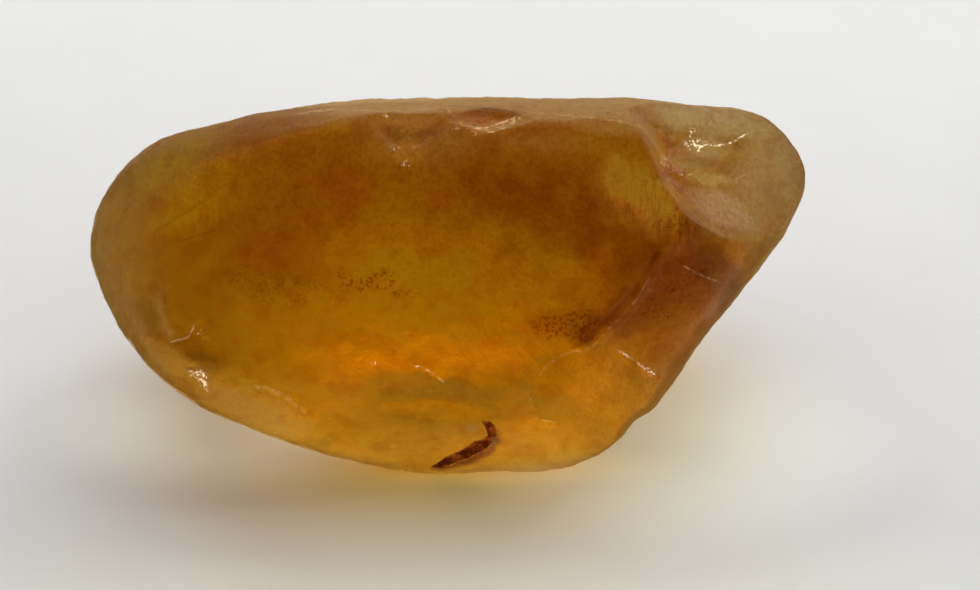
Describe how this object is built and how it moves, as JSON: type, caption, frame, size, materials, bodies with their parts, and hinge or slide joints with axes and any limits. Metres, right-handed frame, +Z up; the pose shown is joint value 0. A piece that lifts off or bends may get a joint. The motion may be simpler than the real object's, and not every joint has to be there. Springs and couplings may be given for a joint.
{
  "type": "rough gemstone",
  "caption": "Worn lump of rough chrysoberyl: a long see-through amber pebble with a broad front face, a hollowed lobe at one end and an open iron-stained cleft.",
  "frame": {"origin": "middle of the stone's box in X and Y, on the flat base patch it rests on", "axes": "+X along the stone's length towards the hollowed lobe, +Z up from the base, and the broad face looks towards -Y and up"},
  "size_m": [0.02, 0.0092, 0.0098],
  "materials": {
    "amber_crystal": "frosted, water-worn crystal skin over a see-through amber body"
  },
  "bodies": {
    "root": {"rough_chrysoberyl": "amber_crystal"}
  },
  "joints": []
}
